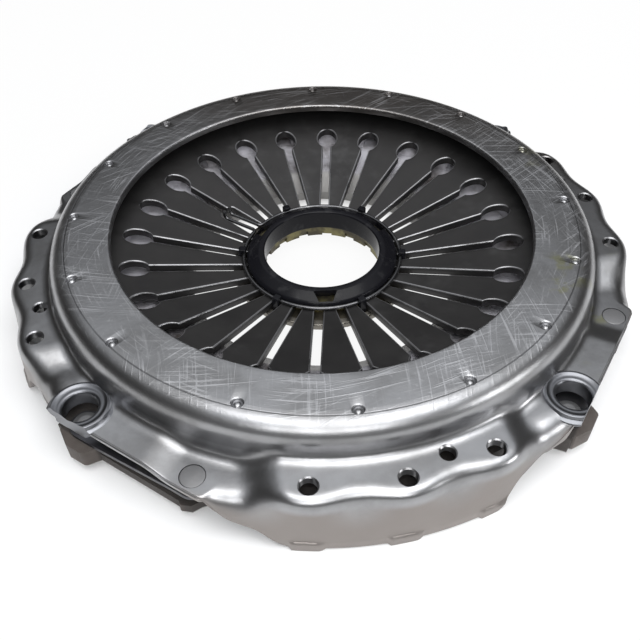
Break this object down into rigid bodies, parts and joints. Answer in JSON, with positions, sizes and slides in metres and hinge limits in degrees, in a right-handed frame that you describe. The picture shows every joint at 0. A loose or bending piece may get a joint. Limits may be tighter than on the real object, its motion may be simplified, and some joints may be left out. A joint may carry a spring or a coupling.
{
  "type": "clutch pressure plate",
  "caption": "Pull-type clutch cover assembly: pressed cover with crown and skirts, slotted diaphragm spring, cast plate on leaf straps, and central release ring",
  "frame": {"origin": "centre of the seat plane, where the feet of the cover stand on the flywheel", "axes": "+Z is the clutch axis and points to the gearbox; bolt pads lie on the X and Y axes, strap bays between them"},
  "size_m": [0.483, 0.483, 0.0715],
  "materials": {
    "cover_steel": "bare pressed steel, burnished by the die, with rub marks on the crown",
    "spring_steel": "black phosphated spring steel, satin",
    "cast_plate": "as cast, with a ground friction face",
    "rivet_steel": "bare formed rivet heads",
    "strap_steel": "blued strip steel",
    "hub_steel": "yellow passivated steel",
    "black_ring": "glossy black coating",
    "wire_steel": "dark drawn wire"
  },
  "bodies": {
    "cover": {"cover": "cover_steel", "pivot_ring": "wire_steel", "cover_rivets": "rivet_steel", "strap_washers": "rivet_steel", "diaphragm_spring": "spring_steel", "strap_1_1": "strap_steel", "strap_1_2": "strap_steel", "strap_1_3": "strap_steel", "strap_2_1": "strap_steel", "strap_2_2": "strap_steel", "strap_2_3": "strap_steel", "strap_3_1": "strap_steel", "strap_3_2": "strap_steel", "strap_3_3": "strap_steel", "strap_4_1": "strap_steel", "strap_4_2": "strap_steel", "strap_4_3": "strap_steel"},
    "pressure_plate": {"pressure_plate": "cast_plate", "plate_rivets": "rivet_steel"},
    "release_ring": {"release_ring": "hub_steel", "thrust_ring": "black_ring", "retaining_wire": "wire_steel", "wire_clips": "black_ring"}
  },
  "joints": [
    {"name": "plate_lift", "type": "slide", "parent": "cover", "child": "pressure_plate", "axis": [0, 0, 1], "range_m": [0, 0.0052], "stiffness_N_per_m": 20000, "deforming": ["strap_1_1", "strap_1_2", "strap_1_3", "strap_2_1", "strap_2_2", "strap_2_3", "strap_3_1", "strap_3_2", "strap_3_3", "strap_4_1", "strap_4_2", "strap_4_3"]},
    {"name": "ring_pull", "type": "slide", "parent": "cover", "child": "release_ring", "axis": [0, 0, 1], "range_m": [0, 0.0243], "deforming": ["diaphragm_spring"]}
  ],
  "couplings": [
    {"joint": "ring_pull", "follows": "plate_lift", "ratio": 4.6552}
  ]
}
